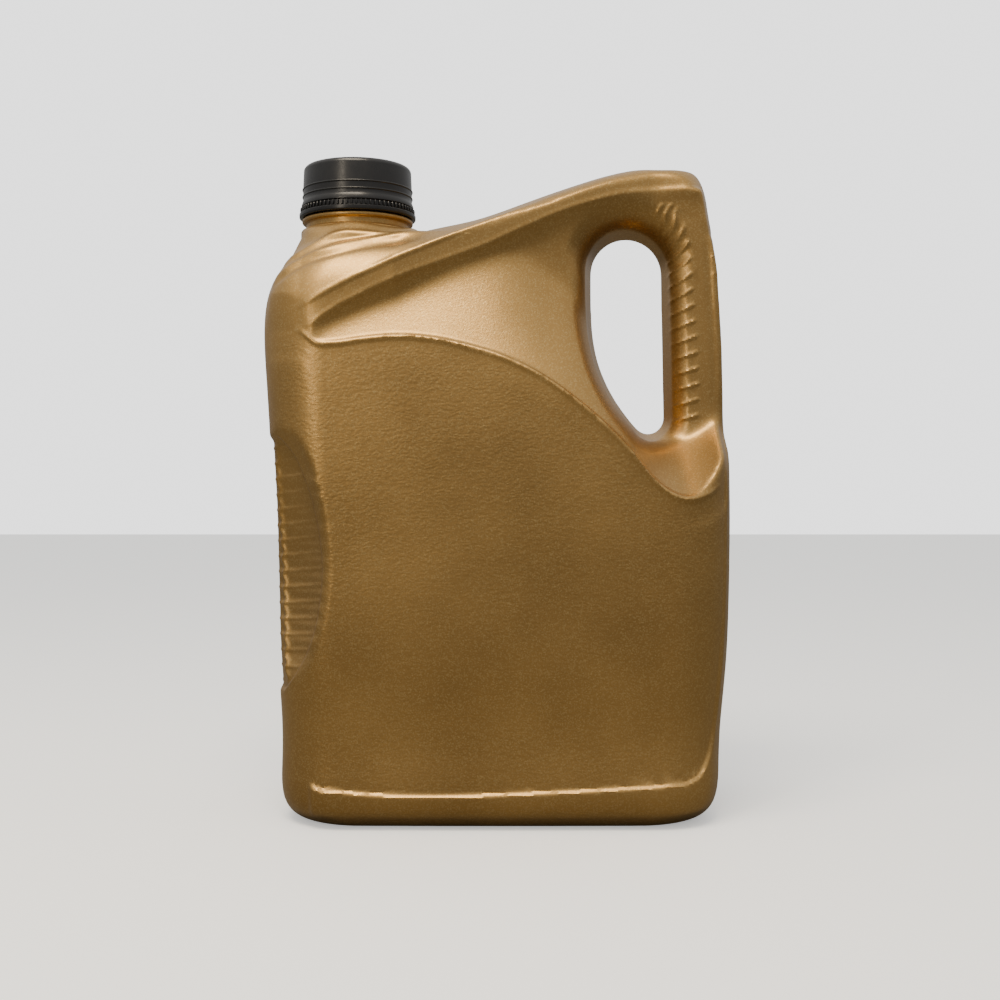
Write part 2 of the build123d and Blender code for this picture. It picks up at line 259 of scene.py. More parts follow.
def wantedDepth(x, z, sides):
    panel = panelDepth(x, z)
    taper = np.minimum(loopLine(bottle["taperStart"], x), curveThrough(bottle["bandDepth"])(x))
    ledgeZ, weltZ, creaseZ = [curveThrough(bottle[key])(x) for key in ("ledge", "welt", "crease")]
    edgeDepth = panelDepth(x, ledgeZ)
    fallen = curveThrough(bottle["floorSlope"])(x) * (z - ledgeZ)
    floor = softMax(loopLine(bottle["scoopStart"], x), edgeDepth - fallen, bottle["floorBlend"])
    under = taper - bottle["weltSlope"] * np.maximum(weltZ - z, 0)
    scoop = softMax(floor, under, bottle["troughBlend"]) - bottle["troughSettle"] * bottle["troughBlend"]
    scoop = edgeDepth + (scoop - edgeDepth) * ramp(*bottle["scoopFade"], x)
    heights, depths = np.array(bottle["faceDepth"]).T
    first = bottle["domeFrom"]
    drop = creaseZ - np.interp(-taper, -depths[first:], heights[first:])
    u = np.clip((z - creaseZ) / np.maximum(sides["top"](x) - creaseZ, 1), 0, 1)
    dome = np.minimum(taper, curveThrough(bottle["faceDepth"])(z - drop * (1 - u)))
    upper = np.minimum(np.where(z < weltZ, scoop, np.where(z > creaseZ, dome, taper)), edgeDepth)
    left, right = x - sides["left"](z), sides["right"](z) - x
    envelope = np.where(z > ledgeZ, np.maximum(panel, np.where(z > weltZ, upper, edgeDepth)), panel)
    body = envelope - cornerDrop(np.minimum(left, right), np.minimum(bottle["cornerRound"], 0.92 * envelope))
    loop = upper - cornerDrop(right, bottle["loopEdgeRound"])
    return np.where(z < ledgeZ, body, np.minimum(body, loop))


def findSides(points):  # the outline of the skin in front view, read off in narrow strips
    columns = np.arange(-101, 102, bottle["stripStep"])
    rows = np.arange(1, 291, bottle["stripStep"])
    half = bottle["stripHalf"]
    top = [points[np.abs(points[:, 0] - x) < half, 2].max() for x in columns]
    left = [points[np.abs(points[:, 2] - z) < half, 0].min() for z in rows]
    right = [points[np.abs(points[:, 2] - z) < half, 0].max() for z in rows]
    return {"top": lambda x: np.interp(x, columns, top), "left": lambda z: np.interp(z, rows, left),
            "right": lambda z: np.interp(z, rows, right)}


def shapeFaces(points, sides):  # moves the faces of the skin to their wanted depth, both sides alike
    x, y, z = points.T
    depth = np.abs(y)
    want = wantedDepth(x, z, sides)
    ledgeZ = curveThrough(bottle["ledge"])(x)
    inFrom = np.minimum(x - sides["left"](z), sides["right"](z) - x)
    weight = ramp(*bottle["sideFade"], inFrom) * ramp(*bottle["topFade"], sides["top"](x) - z)
    weight *= ramp(*bottle["ledgeFade"], z - ledgeZ) * ramp(*bottle["depthFade"], depth)
    away = awayFromHole(x, z, bottle["holeTopRound"] + 2)
    top = ramp(*bottle["holeTopFade"], z - bottle["holeTop"][1])
    reach = bottle["holeRound"] + (bottle["holeTopRound"] - bottle["holeRound"]) * top
    rounding = np.sqrt(np.maximum(1 - (1 - np.clip(away / reach, 0, 1))**2, 0))
    weight *= ramp(*bottle["holeFade"], away)
    shaped = depth + (want - depth) * weight
    shaped = np.where(away < reach, np.minimum(shaped, want * rounding + bottle["holeLip"]), shaped)
    return np.column_stack([x, np.sign(y) * shaped, z])


def remesh(piece, size):
    applyModifier(piece, "REMESH", mode="VOXEL", voxel_size=size * mm)


def outerSkin():  # the CAD bottle's outer skin, closed, with the neck pressed down level
    skin = bpy.data.objects.new("bottle_shell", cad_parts["bottle"].data.copy())
    bpy.context.scene.collection.objects.link(skin)
    selectOnly(skin)
    bpy.ops.object.mode_set(mode="EDIT")
    bpy.ops.mesh.select_all(action="SELECT")
    bpy.ops.mesh.remove_doubles(threshold=0.002 * mm)
    bpy.ops.mesh.select_all(action="DESELECT")
    bpy.ops.object.mode_set(mode="OBJECT")
    rim = readPoints(skin)[:, 2] > mouthZ - 0.1  # the mouth's rim joins the outer skin to the inner one
    for vertex, chosen in zip(skin.data.vertices, rim):
        vertex.select = bool(chosen)
    bpy.ops.object.mode_set(mode="EDIT")
    bpy.ops.mesh.delete(type="VERT")
    bpy.ops.mesh.separate(type="LOOSE")
    bpy.ops.object.mode_set(mode="OBJECT")
    loose = sorted(bpy.context.selected_objects, key=lambda part: part.dimensions.x)
    for part in loose[:-1]:
        bpy.data.objects.remove(part)
    skin = loose[-1]
    selectOnly(skin)
    bpy.ops.object.mode_set(mode="EDIT")
    bpy.ops.mesh.select_mode(type="EDGE")
    bpy.ops.mesh.select_non_manifold()
    bpy.ops.mesh.edge_face_add()
    bpy.ops.object.mode_set(mode="OBJECT")
    points = readPoints(skin)
    neck = np.hypot(points[:, 0] - neckX, points[:, 1]) < bottle["neckFoot"] + 1
    points[neck, 2] = np.minimum(points[neck, 2], bottle["neckCut"])
    writePoints(skin, points)
    return skin


shell = outerSkin()
remesh(shell, bottle["coarseVoxel"])
outline = findSides(readPoints(shell))
writePoints(shell, shapeFaces(readPoints(shell), outline))
remesh(shell, bottle["fineVoxel"])
writePoints(shell, shapeFaces(readPoints(shell), outline))
applyModifier(shell, "SMOOTH", factor=0.5, iterations=bottle["smoothRounds"])
print("bottle shell", len(shell.data.vertices))

# Bottle, stage 2: what the mould adds to the skin
relief = {
    "baseLine": [(-79, 19.5), (-76.8, 18.4), (-66, 17.1), (27, 17.1), (53, 18.4), (72.4, 19.7), (83, 21.1),
                 (86.5, 23.2), (88.6, 26.5)],
    "baseStrip": [(26, 88.4), (30.7, 90.5), (37, 92.2), (44.6, 93.6), (57.7, 95.0), (90, 97.6), (150, 98.8)],
    "baseRise": 1.4, "baseEdge": 0.8, "stripFrom": 87, "baseStart": (-81, -77.5), "stripTop": (165, 140),
    "footFade": (3, 9), "faceFade": (0.3, 0.75),
    "spirals": [[(-93, 243.0), (-82, 250.0), (-71.5, 255.2), (-57, 258.2), (-44, 260.0)],
                [(-97, 236.0), (-86, 243.5), (-70, 249.0), (-57.4, 252.1), (-45.6, 254.3), (-34, 256.0)]],
    "spiralRise": 0.9, "spiralWidth": 3.6, "spiralGroove": 0.7, "grooveOffset": 3.4, "spiralDepth": (12, 24),
    "edgeRise": {"ledge": 0.7, "welt": 0.25, "crease": 0.4}, "edgeWidth": 2.6, "edgeLean": 0.9,
    "edgeStart": (-88, -76), "edgeEnd": (98, 88), "edgeHole": (4, 9), "edgeDepth": (12, 20),
    "creaseEnd": (64, 44),
    "handleRibRise": 0.55, "handleRibWidth": 1.5, "handleRibPitch": 7.05, "handleRibRun": 8.0,
    "handleRibFrom": 178, "handleRibZone": (174, 272, 70), "handleRibFade": 4, "handleRibDepth": (6, 12),
    "handleRibEnds": [(178, 90.0), (196, 90.2), (217, 88.8), (233, 87.6), (254, 86.0), (262, 84.0),
                      (268, 80.5)],
    "handleRibSlope": [(178, 15), (217, 22), (240, 36), (254, 50), (268, 60)],
    "pinchEdge": [(56, -93.5), (64, -87.5), (78, -79.9), (98, -75.2), (112, -74.2), (124, -75.4),
                  (142, -79.4), (152, -83.2), (161, -88.0), (168, -94.5)],
    "pinchWall": (-0.4, 1.4), "pinchFoot": (56, 60), "pinchTop": (169, 165), "pinchDepth": (12, 26),
    "pinchStep": 1.6, "pinchRibRise": 0.3, "pinchRibWidth": 1.5, "pinchRibPitch": 6.8, "pinchRibClimb": 0.12,
    "pinchFin": [(60, -91.5), (90, -93.2), (120, -94.8), (150, -96.6)],
    "pinchFinRise": 1.0, "pinchFinWidth": 2.4, "pinchFinWave": 0.5,
    "pinchFinFoot": (58, 68), "pinchFinTop": (164, 150), "pinchRibSide": -95,
    "filletRise": 5.0, "filletRun": 7.0, "filletReach": 40, "filletFrom": 240, "filletFacing": (0.2, 0.8),
}


def gripEdge(z):  # the pinch grip's outline in front view, at a height
    return curveThrough(relief["pinchEdge"])(z)


def addRelief(piece):
    points, normals = readPoints(piece), readNormals(piece)
    x, y, z = points.T
    face = ramp(*relief["faceFade"], np.abs(normals[:, 1]))
    lift = np.zeros(len(points))

    # Foot band, standing proud below a crisp line that turns up the grip side
    edge = relief["baseEdge"]
    below = ramp(-edge, edge, curveThrough(relief["baseLine"])(x) - z)
    outside = ramp(-edge, edge, x - curveThrough(relief["baseStrip"])(z))
    foot = np.where(x < relief["stripFrom"], below, np.maximum(below, outside))
    foot *= ramp(*relief["baseStart"], x) * ramp(*relief["stripTop"], z) * ramp(*relief["footFade"], z)
    lift += relief["baseRise"] * foot * face

    # Two folds that sweep round the foot of the neck
    for spiral in relief["spirals"]:
        away = z - curveThrough(spiral)(x)
        ends = ramp(spiral[0][0] - 4, spiral[0][0] + 8, x) * ramp(spiral[-1][0] + 6, spiral[-1][0] - 10, x)
        onShoulder = ramp(*relief["spiralDepth"], np.abs(y))
        groove = relief["spiralGroove"] * ridge(away + relief["grooveOffset"], relief["spiralWidth"])
        lift += relief["spiralRise"] * ends * onShoulder * (ridge(away, relief["spiralWidth"]) - groove)

    # Rolled edges of the welt and of the panel's ledge
    for key in ("ledge", "welt", "crease"):
        away = (z - curveThrough(bottle[key])(x)) * relief["edgeLean"]
        along = ramp(*relief["edgeStart"], x) * ramp(*relief["edgeEnd"], x)
        along = along * ramp(*relief["edgeHole"], awayFromHole(x, z, relief["edgeHole"][1] + 1.0))
        if key == "crease":
            along *= ramp(*relief["creaseEnd"], x)
        outward = ramp(*relief["edgeDepth"], np.abs(y))
        lift += relief["edgeRise"][key] * ridge(away, relief["edgeWidth"]) * along * outward

    # Fine raised ribs across the flat of the hand loop
    ends = curveThrough(relief["handleRibEnds"])(z)
    slope = np.tan(np.radians(curveThrough(relief["handleRibSlope"])(z)))
    phase = (z + (ends - x) * slope - relief["handleRibFrom"]) / relief["handleRibPitch"]
    away = (phase - np.round(phase)) * relief["handleRibPitch"] * np.cos(np.arctan(slope))
    inner = ends - relief["handleRibRun"]
    run = ramp(ends + 0.6, ends - 0.6, x) * ramp(inner - relief["handleRibFade"], inner, x)
    low, high, side = relief["handleRibZone"]
    reach = (z > low) & (z < high) & (x > side)
    outward = ramp(*relief["handleRibDepth"], np.abs(y))
    lift += relief["handleRibRise"] * ridge(away, relief["handleRibWidth"]) * run * reach * outward

    # Pinch grip: the floor steps in along its edge
    inside = ramp(*relief["pinchWall"], gripEdge(z) - x)
    inside = inside * ramp(*relief["pinchFoot"], z) * ramp(*relief["pinchTop"], z)
    corner = ramp(*relief["pinchDepth"], np.abs(y))
    lift -= relief["pinchStep"] * inside * corner
    pitch = relief["pinchRibPitch"]
    phase = (z - relief["pinchRibClimb"] * (x - relief["pinchRibSide"])) / pitch
    away = (phase - np.round(phase)) * pitch
    lift += relief["pinchRibRise"] * ridge(away, relief["pinchRibWidth"]) * inside * corner
    fin = curveThrough(relief["pinchFin"])(z) + relief["pinchFinWave"] * np.sin(2 * pi * phase)
    onFin = ramp(*relief["pinchFinFoot"], z) * ramp(*relief["pinchFinTop"], z) * corner
    lift += relief["pinchFinRise"] * ridge(x - fin, relief["pinchFinWidth"]) * onFin
    points += normals * lift[:, None]

    # The shoulder sweeps up into the foot of the neck
    reach = np.hypot(points[:, 0] - neckX, points[:, 1])
    sweep = relief["filletRise"] * (1 - ramp(0, relief["filletRun"], reach - bottle["neckFoot"]))
    atNeck = (reach < relief["filletReach"]) & (points[:, 2] > relief["filletFrom"])
    points[:, 2] += np.where(atNeck, sweep * ramp(*relief["filletFacing"], normals[:, 2]), 0)
    writePoints(piece, points)


# Places where the remeshed skin is evened out before its relief: fades along x and z, and rounds
calmed = {
    "grip": {"beyondEdge": (5, 3), "foot": (57, 59), "top": (171, 169), "depth": 10, "rounds": 40},
    "loopTop": {"side": (42, 58), "foot": (264, 272), "rounds": 30},
    "ledgeEnd": {"side": (84, 92), "foot": (135, 143), "top": (190, 178), "rounds": 25},
}


def calm(piece, weights, rounds):
    group = piece.vertex_groups.new(name="calm")
    for step in (0.25, 0.5, 0.75, 1.0):
        group.add(np.flatnonzero(weights > step - 0.125).tolist(), step, "REPLACE")
    applyModifier(piece, "SMOOTH", factor=0.5, iterations=rounds, vertex_group="calm")
    piece.vertex_groups.clear()


def calmSkin(piece):
    x, y, z = readPoints(piece).T
    grip, loop, ledge = calmed["grip"], calmed["loopTop"], calmed["ledgeEnd"]
    onGrip = ramp(*grip["beyondEdge"], x - gripEdge(z)) * ramp(*grip["foot"], z) * ramp(*grip["top"], z)
    calm(piece, onGrip * (np.abs(y) > grip["depth"]), grip["rounds"])
    calm(piece, ramp(*loop["side"], x) * ramp(*loop["foot"], z), loop["rounds"])
    onLedge = ramp(*ledge["side"], x) * ramp(*ledge["foot"], z) * ramp(*ledge["top"], z)
    calm(piece, onLedge, ledge["rounds"])


calmSkin(shell)
addRelief(shell)
applyModifier(shell, "DECIMATE", ratio=bottle["triangles"] / (2 * len(shell.data.polygons)))
print("bottle relief", len(shell.data.polygons))

# Bottle, stage 3: the neck, and the hollow inside
neck = {"radius": neckRadius, "root": 250.0, "footRadius": 25.8, "footTop": 263.0, "grooveRadius": 23.4,
        "beadLow": 265.8, "beadTop": 267.9, "beadRadius": 25.3, "snapZ": 270.2, "snapRise": 1.7, "bore": 17.4,
        "threadStart": 278.1, "threadLead": 6.0, "threadTurns": 1.25, "threadRise": 1.3, "threadRow": 0.35,
        "threadMargin": (-1.6, 9.2), "lipRound": 0.8, "footRound": 1.4, "wall": 1.8, "innerVoxel": 2.2,
        "innerThinning": 0.35, "boreFoot": 246, "boreChamfer": 0.6}


def makeNeck():
    r, foot, bead = neck["radius"], neck["footRadius"], neck["beadRadius"]
    low, top = neck["beadLow"], neck["beadTop"]
    rows = np.arange(*[neck["threadStart"] + margin for margin in neck["threadMargin"]], neck["threadRow"])
    profile = [(foot - 1, neck["root"]), (foot, neck["root"] + 1), (foot, neck["footTop"] - 2)]
    bend = neck["footRound"]
    profile += arc(foot - bend, neck["footTop"] - bend - 0.2, bend, 0, 90)
    profile += [(neck["grooveRadius"] + 0.5, neck["footTop"]), (neck["grooveRadius"], neck["footTop"] + 0.4),
                (neck["grooveRadius"], low - 0.4), (neck["grooveRadius"] + 0.4, low)]
    lip = neck["lipRound"]
    profile += arc(bead - lip, low + lip, lip, -90, 0, 5) + arc(bead - lip, top - lip, lip, 0, 90, 5)
    snapZ, snap = neck["snapZ"], r + neck["snapRise"]
    profile += [(r + 0.3, top), (r, top + 0.3), (r, snapZ - 0.2), (snap, snapZ), (snap, snapZ + 0.5),
                (r, snapZ + 1.6)]
    profile += [(r, height) for height in rows]
    profile += arc(r - lip, mouthZ - lip, lip, 0, 90, 5)
    post = turned("neck", profile, 128)
    addThread(post, r, neck["threadStart"], neck["threadLead"], neck["threadTurns"], neck["threadRise"])
    return post


def makeHollow():  # the shell drawn in by the wall, opened through the neck
    hollow = bpy.data.objects.new("hollow", shell.data.copy())
    bpy.context.scene.collection.objects.link(hollow)
    remesh(hollow, neck["innerVoxel"])
    applyModifier(hollow, "SMOOTH", factor=0.5, iterations=2)
    writePoints(hollow, readPoints(hollow) - readNormals(hollow) * neck["wall"])
    remesh(hollow, neck["innerVoxel"])
    applyModifier(hollow, "DECIMATE", ratio=neck["innerThinning"])
    return hollow


hollow = makeHollow()
cut(shell, makeNeck(), "UNION")
cut(shell, hollow, "DIFFERENCE")
wide = neck["bore"] + neck["boreChamfer"]
bore = turned("bore", [(neck["bore"], neck["boreFoot"]), (neck["bore"], mouthZ - 0.8), (wide, mouthZ + 0.2),
                       (wide, mouthZ + 2)], 96)
cut(shell, bore, "DIFFERENCE")
shell.name = shell.data.name = "bottle_body"
shadeSmooth(shell, 38)
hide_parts("bottle")
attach(shell, "bottle")
print("bottle neck and hollow", len(shell.data.polygons), shell.dimensions[:])

# Screw cap
cap = {"radius": 24.9, "flare": 0.7, "bore": 22.6, "plate": 2.0, "topRound": 2.4, "draft": 0.35,
       "rings": (4.9, 8.2), "ringHeight": 0.9, "threadRow": 0.35,
       "threadLead": 6.0, "threadTurns": 1.25, "threadRise": 1.2, "threadDrop": 3.2, "boreRound": 0.8}


def makeCap():
    r, foot, top = cap["radius"], capLow.z, capHigh.z
    edge = r - cap["draft"] - cap["topRound"]
    profile = [(1, top - 0.25), (edge - 3, top - 0.25), (edge - 1.5, top)]
    profile += arc(edge, top - cap["topRound"], cap["topRound"], 90, 0, 8)
    for rise in reversed(cap["rings"]):
        middle = foot + rise
        profile += [(r - 0.05, middle + 0.9)]
        profile += arc(r - 0.1, middle, cap["ringHeight"] / 2, 80, -80, 7)
        profile += [(r, middle - 0.9)]
    skirt = r + cap["flare"]
    profile += [(r, foot + 3.0), (r + 0.2, foot + 2.5), (skirt, foot + 1.1), (skirt, foot + 0.3),
                (skirt - 0.3, foot), (cap["bore"] + 0.5, foot), (cap["bore"], foot + 0.5)]
    start = mouthZ - cap["threadDrop"] - cap["threadLead"] * (cap["threadTurns"] + 0.5)
    rows = np.arange(foot + 0.9, top - cap["plate"] - 1.2, cap["threadRow"])
    profile += [(cap["bore"], height) for height in rows]
    under, bend = top - cap["plate"], cap["boreRound"]
    profile += arc(cap["bore"] - bend, under - bend, bend, 0, 90, 4) + [(1, under)]
    piece = turned("cap_shell", profile, 128)
    addThread(piece, cap["bore"], start, cap["threadLead"], cap["threadTurns"], -cap["threadRise"])
    shadeSmooth(piece, 40)
    return piece


capShell = makeCap()
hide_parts("screw_cap")
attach(capShell, "cap")
print("cap", len(capShell.data.polygons))

# Tamper band, left on the neck, with the stubs of its bridges
band = {"radius": 26.6, "topRadius": 25.6, "bore": 23.0, "footBore": 24.0, "lip": 21.5, "lipHeight": 1.4,
        "stubs": 76, "stubWidth": 0.85, "stubRise": 0.55, "stubHeight": 2.1, "stubBevel": 0.18}


def makeBand():
    low, top, r, upper = bandLow.z, bandHigh.z, band["radius"], band["topRadius"] - 0.3
    profile = [(band["lip"], low + 0.5), (band["footBore"], low), (r - 0.7, low)]
    profile += arc(r - 0.7, low + 0.7, 0.7, -60, 0, 4)
    profile += [(r, low + 1.9), (r - 0.35, low + 2.3), (upper, low + 2.5), (upper, top), (band["bore"], top),
                (band["bore"], low + 1.9), (band["lip"], low + band["lipHeight"]), (band["lip"], low + 0.5)]
    piece = turned("band_ring", profile, 128, closed=True)
    bpy.ops.object.select_all(action="DESELECT")
    stubX = neckX + band["topRadius"] + band["stubRise"] / 2 - 0.3
    stubZ = top - band["stubHeight"] / 2 - 0.02  # just under the rim, so that no two faces meet
    bpy.ops.mesh.primitive_cube_add(size=mm, location=(stubX * mm, 0, stubZ * mm),
                                    scale=(band["stubRise"] + 0.7, band["stubWidth"], band["stubHeight"]))
    stub = bpy.context.object
    bpy.ops.object.transform_apply(location=True, rotation=True, scale=True)
    applyModifier(stub, "BEVEL", width=band["stubBevel"] * mm, segments=1)
    bpy.ops.object.mode_set(mode="EDIT")
    bpy.ops.mesh.select_all(action="SELECT")
    bpy.ops.mesh.spin(steps=band["stubs"], dupli=True, angle=2 * pi, center=(neckX * mm, 0, 0),
                      axis=(0, 0, 1))
    bpy.ops.mesh.select_all(action="SELECT")
    bpy.ops.mesh.remove_doubles(threshold=weldGap * mm)
    bpy.ops.mesh.normals_make_consistent(inside=False)
    bpy.ops.object.mode_set(mode="OBJECT")
    cut(piece, stub, "UNION")
    shadeSmooth(piece, 40)
    return piece


bandRing = makeBand()
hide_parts("tamper_band")
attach(bandRing, "bottle")
print("band", len(bandRing.data.polygons))

# Sealing wad under the cap's top plate, printed with the ring that the mouth has pressed into it
liner = {"edge": 0.25, "pressedIn": 17.6, "pressedOut": 20.6, "pressedDepth": 0.12}


def makeLiner():
    r = (linerHigh.x - linerLow.x) / 2
    low, top, edge, press = linerLow.z, linerHigh.z, liner["edge"], liner["pressedDepth"]
    profile = [(1, low), (liner["pressedIn"] - 0.4, low), (liner["pressedIn"], low + press),
               (liner["pressedOut"], low + press), (liner["pressedOut"] + 0.4, low), (r - edge, low),
               (r, low + edge), (r, top - edge), (r - edge, top), (1, top)]
    piece = turned("liner_disc", profile, 96)
    shadeSmooth(piece, 30)
    return piece


linerDisc = makeLiner()
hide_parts("seal_liner")
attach(linerDisc, "liner")
print("liner", len(linerDisc.data.polygons))


# Materials

def colour(code):  # sRGB hex to the renderer's linear values
    channels = [int(code[i:i + 2], 16) / 255 for i in (1, 3, 5)]
    return tuple(c / 12.92 if c <= 0.04045 else ((c + 0.055) / 1.055)**2.4 for c in channels) + (1.0,)


def addNode(tree, kind, settings=None, links=None):
    node = tree.nodes.new("ShaderNode" + kind)
    for key, value in (settings or {}).items():
        if isinstance(key, str) and hasattr(node, key):
            setattr(node, key, value)
        else:
            node.inputs[key].default_value = value
    for key, source in (links or {}).items():
        tree.links.new(source, node.inputs[key])
    return node


def perMetre(size):  # a pattern's scale, from the size of its grain in millimetres
    return 1 / (size * mm)


def newMaterial(name, settings):
    material = bpy.data.materials.new(name)
    material.use_nodes = True
    shader = material.node_tree.nodes["Principled BSDF"]
    for key, value in settings.items():
        shader.inputs[key].default_value = value
    place = addNode(material.node_tree, "TexCoord")
    return material, material.node_tree, shader, place.outputs["Object"]


# Real sizes in millimetres; the flake and the sand are drawn coarser than they are, so that they show
grain = {"leatherWrinkle": (2.4, 1.6, 1.2), "leatherDepth": 0.075, "sandSize": 0.9, "sandDepth": 0.06,
         "flakeSize": 0.5, "cloudSize": 60.0, "warpSize": 6.0, "warpShift": 4.0, "skinSize": 2.5,
         "skinDepth": 0.02, "mottleSize": 3.0, "mottleDepth": 0.015, "cellSize": 0.6, "cellDepth": 0.05}
shades = {"goldDeep": "#9b7946", "goldLight": "#ad8951", "flake": "#d8bf86", "blackDeep": "#101011",
          "blackLight": "#1b1a1a", "foamCell": "#d9d6cf", "foamSkin": "#f2f0ea"}


def markGrain(piece):  # which parts of the skin are leather-grained, and which are sand-blasted
    points, normals = readPoints(piece), readNormals(piece)
    x, y, z = points.T
    face = ramp(0.35, 0.8, np.abs(normals[:, 1]))
    ledgeZ = curveThrough(bottle["ledge"])(x)
    aboveBase = ramp(1.0, 3.0, z - curveThrough(relief["baseLine"])(x))
    inStrip = ramp(1.0, 3.0, curveThrough(relief["baseStrip"])(z) - x)
    outOfPinch = ramp(0.5, 2.5, x - gripEdge(z))
    panel = ramp(2.2, 4.5, ledgeZ - z) * aboveBase * inStrip * outOfPinch
    roundTheSides = 0.35  # the grain is this strong where the panel turns away
    leather = panel * (roundTheSides + (1 - roundTheSides) * face)
    weltZ = curveThrough(bottle["welt"])(x)
    offHole = ramp(8, 13, awayFromHole(x, z, 14.0))
    scoop = ramp(1.5, 4.0, z - ledgeZ) * ramp(1.0, 4.0, weltZ - z) * offHole * ramp(66, 58, x) * face
    for name, values in (("leather", leather), ("sand", scoop)):
        layer = piece.data.attributes.new(name, "FLOAT", "POINT")
        layer.data.foreach_set("value", values.astype(np.float32))


def pearlGoldPolyethylene():
    # Blow-moulded HDPE filled with bronze mica flake: a soft metallic sheen over a satin skin, clouded by
    # the flow of the parison, with leather grain on the panels and fine sand-blasting in the scoops
    material, tree, shader, place = newMaterial("pearl_gold_polyethylene", {
        "Metallic": 0.88, "Roughness": 0.36, "IOR": 1.5, "Coat Weight": 0.05, "Coat Roughness": 0.25})
    cloud = addNode(tree, "TexNoise", {"Scale": perMetre(grain["cloudSize"]), "Detail": 3.0},
                    {"Vector": place})
    flake = addNode(tree, "TexVoronoi", {"Scale": perMetre(grain["flakeSize"])}, {"Vector": place})
    tones = addNode(tree, "ValToRGB", None, {"Fac": cloud.outputs["Fac"]})
    tones.color_ramp.elements[0].position = 0.3
    tones.color_ramp.elements[0].color = colour(shades["goldDeep"])
    tones.color_ramp.elements[1].position = 0.75
    tones.color_ramp.elements[1].color = colour(shades["goldLight"])
    spark = addNode(tree, "MapRange", {"From Min": 0.55, "From Max": 1.0, "To Min": 0.0, "To Max": 0.35},
                    {"Value": flake.outputs["Color"]})
    base = addNode(tree, "Mix", {"data_type": "RGBA", 7: colour(shades["flake"])},
                   {0: spark.outputs["Result"], 6: tones.outputs["Color"]})
    tree.links.new(base.outputs[2], shader.inputs["Base Color"])
    leather = addNode(tree, "Attribute", {"attribute_name": "leather"})
    sand = addNode(tree, "Attribute", {"attribute_name": "sand"})
    warp = addNode(tree, "TexNoise", {"Scale": perMetre(grain["warpSize"]), "Detail": 2.0}, {"Vector": place})
    shift = grain["warpShift"] * mm
    shifted = addNode(tree, "VectorMath", {"operation": "MULTIPLY_ADD", 1: (shift, shift, shift)},
                      {0: warp.outputs["Color"], 2: place})
    wrinkle = tuple(perMetre(size) for size in grain["leatherWrinkle"])
    stretched = addNode(tree, "Mapping", {"Scale": wrinkle}, {"Vector": shifted.outputs["Vector"]})
    wrinkles = addNode(tree, "TexVoronoi", {"feature": "SMOOTH_F1", "Scale": 1.0, "Smoothness": 0.6},
                       {"Vector": stretched.outputs["Vector"]})
    pebbles = addNode(tree, "Math", {"operation": "MULTIPLY"},
                      {0: wrinkles.outputs["Distance"], 1: leather.outputs["Fac"]})
    leatherDepth = grain["leatherDepth"] * mm
    leatherBump = addNode(tree, "Bump", {"Strength": 1.0, "Distance": leatherDepth, "invert": True},
                          {"Height": pebbles.outputs["Value"]})
    grit = addNode(tree, "TexNoise", {"Scale": perMetre(grain["sandSize"]), "Detail": 2.0}, {"Vector": place})
    gritty = addNode(tree, "Math", {"operation": "MULTIPLY"},
                     {0: grit.outputs["Fac"], 1: sand.outputs["Fac"]})
    sandBump = addNode(tree, "Bump", {"Strength": 1.0, "Distance": grain["sandDepth"] * mm},
                       {"Height": gritty.outputs["Value"], "Normal": leatherBump.outputs["Normal"]})
    skinNoise = addNode(tree, "TexNoise", {"Scale": perMetre(grain["skinSize"]), "Detail": 3.0},
                        {"Vector": place})
    skinBump = addNode(tree, "Bump", {"Strength": 1.0, "Distance": grain["skinDepth"] * mm},
                       {"Height": skinNoise.outputs["Fac"], "Normal": sandBump.outputs["Normal"]})
    tree.links.new(skinBump.outputs["Normal"], shader.inputs["Normal"])
    rough = addNode(tree, "MapRange", {"From Min": 0.3, "From Max": 0.7, "To Min": 0.33, "To Max": 0.41},
                    {"Value": cloud.outputs["Fac"]})
    tree.links.new(rough.outputs["Result"], shader.inputs["Roughness"])
    return material


def satinBlackPolypropylene():
    # Injection-moulded polypropylene, carbon black: a deep satin with faint flow mottling
    material, tree, shader, place = newMaterial("satin_black_polypropylene", {"Roughness": 0.4, "IOR": 1.49})
    mottle = addNode(tree, "TexNoise", {"Scale": perMetre(grain["mottleSize"]), "Detail": 4.0},
                     {"Vector": place})
    tones = addNode(tree, "ValToRGB", None, {"Fac": mottle.outputs["Fac"]})
    tones.color_ramp.elements[0].color = colour(shades["blackDeep"])
    tones.color_ramp.elements[1].color = colour(shades["blackLight"])
    tree.links.new(tones.outputs["Color"], shader.inputs["Base Color"])
    rough = addNode(tree, "MapRange", {"To Min": 0.24, "To Max": 0.34}, {"Value": mottle.outputs["Fac"]})
    tree.links.new(rough.outputs["Result"], shader.inputs["Roughness"])
    bump = addNode(tree, "Bump", {"Distance": grain["mottleDepth"] * mm}, {"Height": mottle.outputs["Fac"]})
    tree.links.new(bump.outputs["Normal"], shader.inputs["Normal"])
    return material


